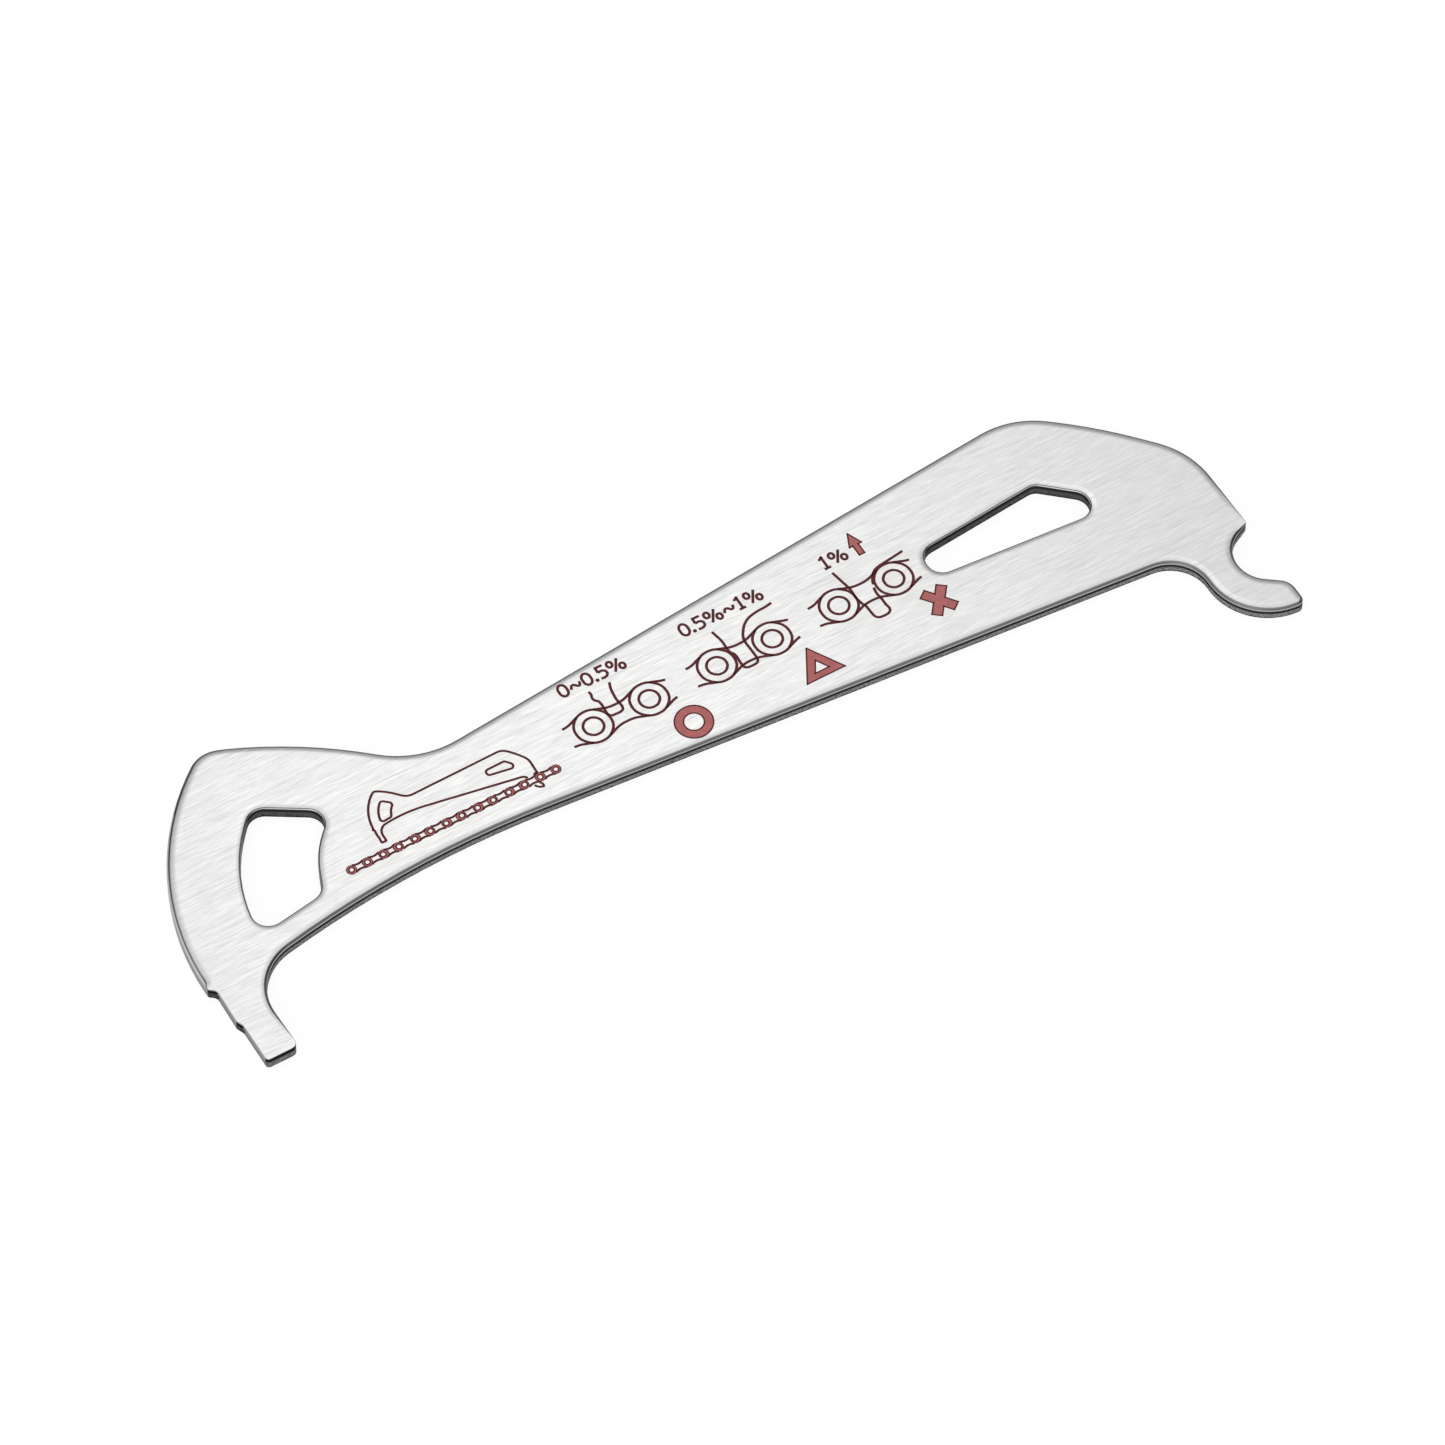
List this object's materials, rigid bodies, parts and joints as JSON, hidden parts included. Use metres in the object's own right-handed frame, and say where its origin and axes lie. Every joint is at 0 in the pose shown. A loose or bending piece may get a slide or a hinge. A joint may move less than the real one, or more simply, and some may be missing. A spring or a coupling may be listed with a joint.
{
  "type": "chain wear gauge",
  "caption": "Flat stainless plate that gauges the stretch of a bicycle chain: a roller hook at one end, a stepped peg at the other, a sector window and a flared slot.",
  "frame": {"origin": "centre of the plate's bounding box, on its plain back face", "axes": "+X along the plate from the stepped peg to the hook, +Y from the chain side to the back edge, +Z out of the printed face"},
  "size_m": [0.124, 0.0426, 0.0016],
  "materials": {
    "brushed_stainless": "sheet brushed along its length, edges blanked and tumbled, the peg's measuring faces ground, red print on the face"
  },
  "bodies": {
    "root": {"gauge_plate": "brushed_stainless"}
  },
  "joints": []
}
